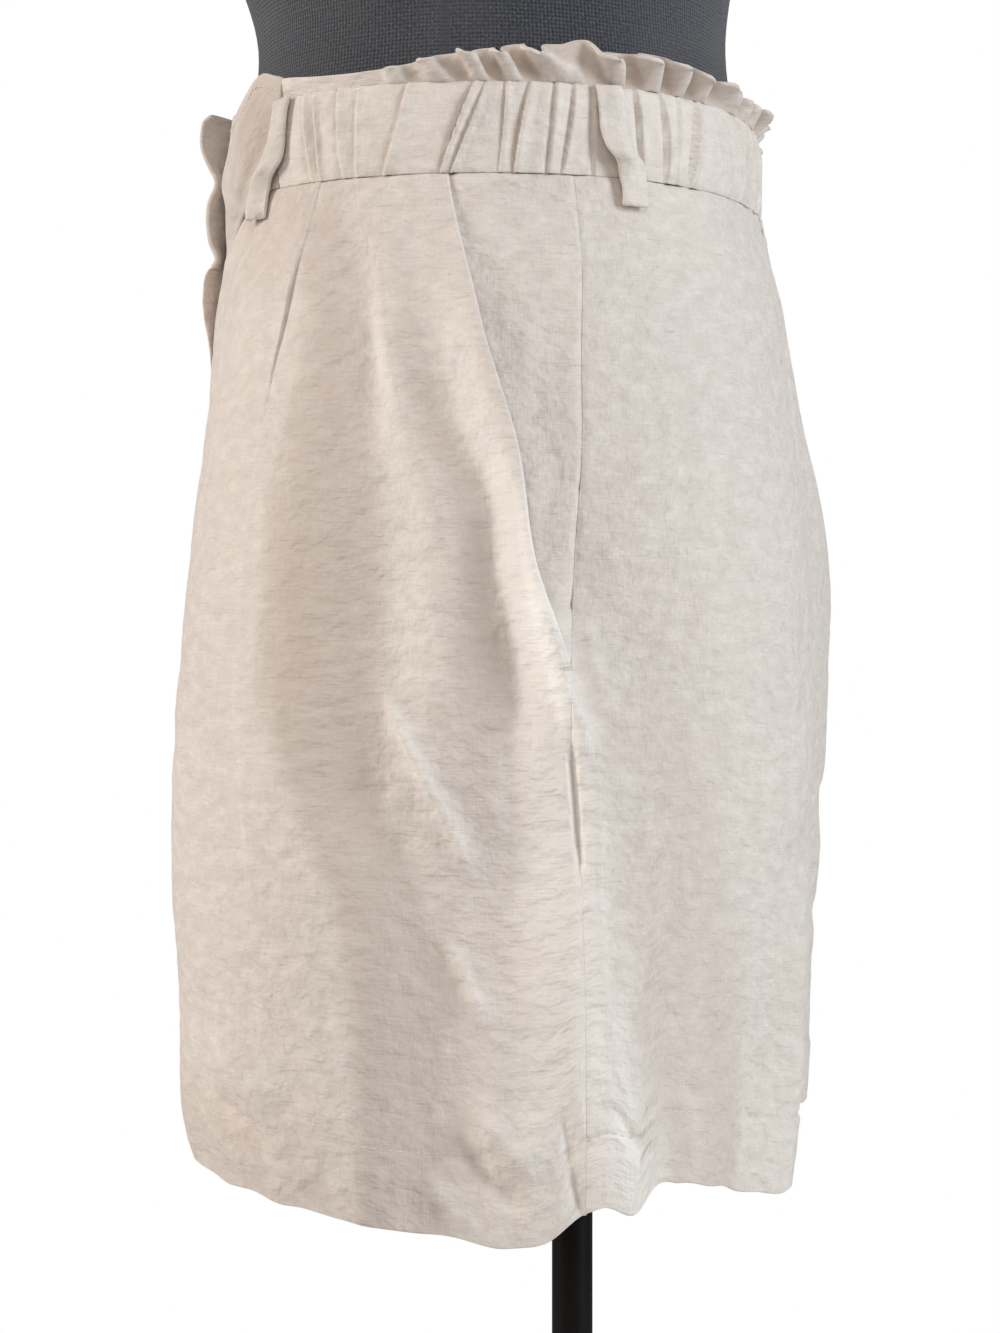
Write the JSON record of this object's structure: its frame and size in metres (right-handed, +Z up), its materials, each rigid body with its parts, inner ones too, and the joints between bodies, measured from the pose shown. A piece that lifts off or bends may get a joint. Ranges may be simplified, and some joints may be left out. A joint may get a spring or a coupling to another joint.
{
  "type": "linen shorts on a limbless dress form with a pole stand",
  "caption": "Pleated high-waisted shorts with a gathered waistband, frill, belt loops and slanted pockets, worn on a limbless dress form on a round-based pole.",
  "frame": {"origin": "on the floor at the centre of the round base, under the pole", "axes": "+Z up, -Y towards the front of the shorts, +X towards the wearer's left"},
  "size_m": [0.4177, 0.37, 1.4883],
  "materials": {
    "linen": "oatmeal linen with crosswise slubs",
    "hook_metal": "plated",
    "form_cover": "charcoal knit cover",
    "neck_wood": "black satin lacquer",
    "stand_steel": "black satin"
  },
  "bodies": {
    "root": {"left_front": "linen", "right_front": "linen", "left_back": "linen", "right_back": "linen", "left_pocket_facing": "linen", "right_pocket_facing": "linen", "left_hem": "linen", "right_hem": "linen", "waistband_left_front": "linen", "waistband_right_front": "linen", "waistband_back": "linen", "header_frill": "linen", "fly_overlap": "linen", "loop_left_front": "linen", "loop_left_side": "linen", "loop_right_front": "linen", "loop_right_side": "linen", "hook_upper": "hook_metal", "hook_lower": "hook_metal", "form_body": "form_cover", "form_neck_cap": "neck_wood", "stand_pole": "stand_steel", "stand_base": "stand_steel"}
  },
  "joints": []
}
